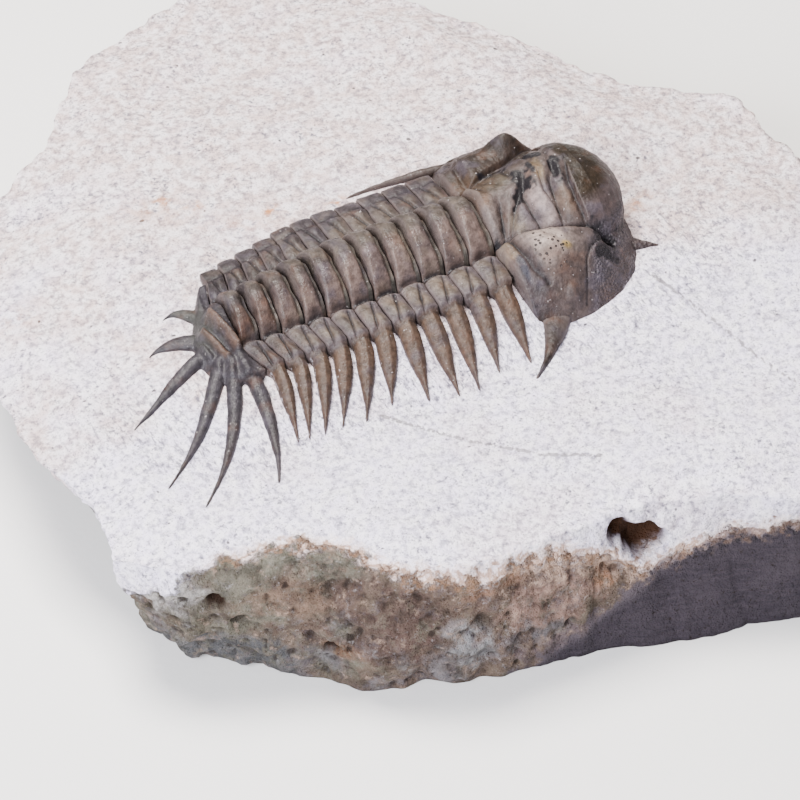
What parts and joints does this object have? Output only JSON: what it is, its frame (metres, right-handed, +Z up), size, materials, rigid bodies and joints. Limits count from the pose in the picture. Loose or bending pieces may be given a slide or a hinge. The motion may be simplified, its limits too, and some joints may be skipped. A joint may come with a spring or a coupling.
{
  "type": "fossil cyrtometopus trilobite",
  "caption": "Fossil trilobite with dagger-like spines along its sides and a fan of tail spines, lying on a broken slab of pale limestone.",
  "frame": {"origin": "below the middle of the slab's bounding box, on the plane of its flat base", "axes": "+X toward the animal's head, +Y toward its left side, +Z up out of the face that carries the animal"},
  "size_m": [0.0924, 0.101, 0.0258],
  "materials": {
    "limestone": "chalky, matt, finely pitted",
    "fossil_shell": "satin, brown-grey, polished by preparation"
  },
  "bodies": {
    "root": {"matrix": "limestone", "cephalon": "fossil_shell", "thorax_segment_01": "fossil_shell", "thorax_segment_02": "fossil_shell", "thorax_segment_03": "fossil_shell", "thorax_segment_04": "fossil_shell", "thorax_segment_05": "fossil_shell", "thorax_segment_06": "fossil_shell", "thorax_segment_07": "fossil_shell", "thorax_segment_08": "fossil_shell", "thorax_segment_09": "fossil_shell", "thorax_segment_10": "fossil_shell", "thorax_segment_11": "fossil_shell", "pygidium": "fossil_shell"}
  },
  "joints": []
}
